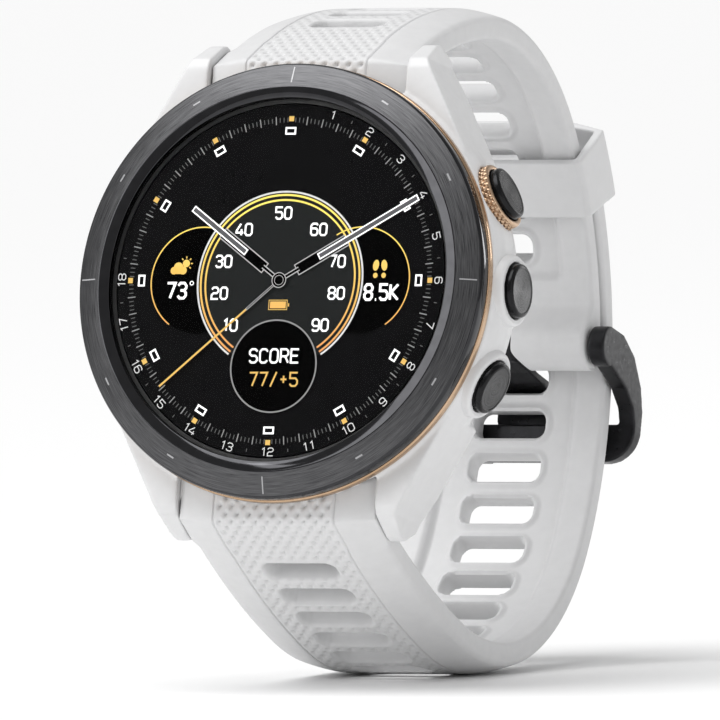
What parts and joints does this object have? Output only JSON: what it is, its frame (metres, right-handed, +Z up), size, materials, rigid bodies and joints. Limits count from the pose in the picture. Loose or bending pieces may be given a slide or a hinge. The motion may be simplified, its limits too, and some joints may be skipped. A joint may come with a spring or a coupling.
{
  "type": "golf gps watch",
  "caption": "Round golf GPS watch with metal bezel, side push-buttons, integral lugs and a slotted silicone band closed by a pin buckle and sliding keeper.",
  "frame": {"origin": "bottom centre of the bounding box, on the surface that the band stands on", "axes": "+Z up; -Y is the side the dial faces, leaning 12.8 degrees back; +X towards 3 o'clock, the button side"},
  "size_m": [0.0432, 0.0622, 0.0626],
  "materials": {
    "case_polymer": "satin white fibre-reinforced polymer",
    "bezel_metal": "dark grey brushed and coated",
    "rose_gold": "rose gold plated",
    "lens_glass": "polished, anti-reflective",
    "display": "black display laminate",
    "seal_rubber": "moulded",
    "flex": "polyimide ribbon",
    "inner_metal": "stamped",
    "board": "circuit board",
    "can_metal": "tinned",
    "battery_wrap": "foil pouch",
    "foam": "foam",
    "steel": "machined",
    "back_polymer": "satin light grey",
    "sensor_glass": "polished black",
    "contact_gold": "gold plated",
    "socket_plastic": "moulded",
    "button_metal": "black, spun-brushed faces",
    "silicone": "white silicone, satin",
    "buckle_metal": "black coated, satin"
  },
  "bodies": {
    "watch": {"case_body": "case_polymer", "bezel": "bezel_metal", "trim_ring": "rose_gold", "lens": "lens_glass", "lens_gasket": "seal_rubber", "display_panel": "display", "display_flex": "flex", "chassis_plate": "inner_metal", "antenna_ring": "inner_metal", "main_board": "board", "shield_cans": "can_metal", "battery_pad": "foam", "battery": "battery_wrap", "vibration_motor": "can_metal", "button_switches": "steel", "switch_bracket": "inner_metal", "sensor_board": "board", "case_back": "back_polymer", "case_back_seal": "seal_rubber", "case_screws": "steel", "sensor_window": "sensor_glass", "charge_socket": "socket_plastic", "charge_contacts": "contact_gold", "button_guard": "rose_gold", "strap_short": "silicone", "strap_long": "silicone", "button_bush_upper": "steel", "button_seal_upper": "seal_rubber", "button_spring_upper": "steel", "button_bush_middle": "steel", "button_seal_middle": "seal_rubber", "button_spring_middle": "steel", "button_bush_lower": "steel", "button_seal_lower": "seal_rubber", "button_spring_lower": "steel", "spring_bar_upper": "steel", "release_spring_upper": "steel", "spring_bar_lower": "steel", "release_spring_lower": "steel"},
    "button_upper_body": {"button_upper": "button_metal", "button_clip_upper": "steel"},
    "button_middle_body": {"button_middle": "button_metal", "button_clip_middle": "steel"},
    "button_lower_body": {"button_lower": "button_metal", "button_clip_lower": "steel"},
    "release_pin_upper_body": {"release_pin_upper": "steel"},
    "release_pin_lower_body": {"release_pin_lower": "steel"},
    "buckle_frame_body": {"buckle_frame": "buckle_metal", "buckle_pin": "buckle_metal"},
    "buckle_tongue_body": {"buckle_tongue": "buckle_metal"},
    "keeper_body": {"keeper": "silicone"}
  },
  "joints": [
    {"name": "button_upper_press", "type": "slide", "parent": "watch", "child": "button_upper_body", "axis": [-0.9085, -0.0926, -0.4075], "range_m": [0, 0.0006], "stiffness_N_per_m": 2500, "springref_m": -0.0004, "deforming": ["button_spring_upper"]},
    {"name": "button_middle_press", "type": "slide", "parent": "watch", "child": "button_middle_body", "axis": [-1, 0, 0], "range_m": [0, 0.0006], "stiffness_N_per_m": 2500, "springref_m": -0.0004, "deforming": ["button_spring_middle"]},
    {"name": "button_lower_press", "type": "slide", "parent": "watch", "child": "button_lower_body", "axis": [-0.9085, 0.0926, 0.4075], "range_m": [0, 0.0006], "stiffness_N_per_m": 2500, "springref_m": -0.0004, "deforming": ["button_spring_lower"]},
    {"name": "release_pin_upper_slide", "type": "slide", "parent": "watch", "child": "release_pin_upper_body", "axis": [-1, 0, 0], "range_m": [0, 0.0011], "stiffness_N_per_m": 900, "springref_m": -0.0008, "deforming": ["release_spring_upper"]},
    {"name": "release_pin_lower_slide", "type": "slide", "parent": "watch", "child": "release_pin_lower_body", "axis": [-1, 0, 0], "range_m": [0, 0.0011], "stiffness_N_per_m": 900, "springref_m": -0.0008, "deforming": ["release_spring_lower"]},
    {"name": "buckle_frame_hinge", "type": "hinge", "parent": "watch", "child": "buckle_frame_body", "pos_m": [-0.00055, 0.02315, 0.02984], "axis": [1, 0, 0], "range_deg": [0, 6]},
    {"name": "buckle_tongue_hinge", "type": "hinge", "parent": "watch", "child": "buckle_tongue_body", "pos_m": [-0.00055, 0.02315, 0.02984], "axis": [1, 0, 0], "range_deg": [0, 6]},
    {"name": "keeper_slide", "type": "hinge", "parent": "watch", "child": "keeper_body", "pos_m": [-0.00055, -0.00993, 0.03231], "axis": [1, 0, 0], "range_deg": [-13.3, 1.6]}
  ],
  "couplings": [
    {"joint": "buckle_tongue_hinge", "follows": "buckle_frame_hinge", "ratio": 1}
  ]
}
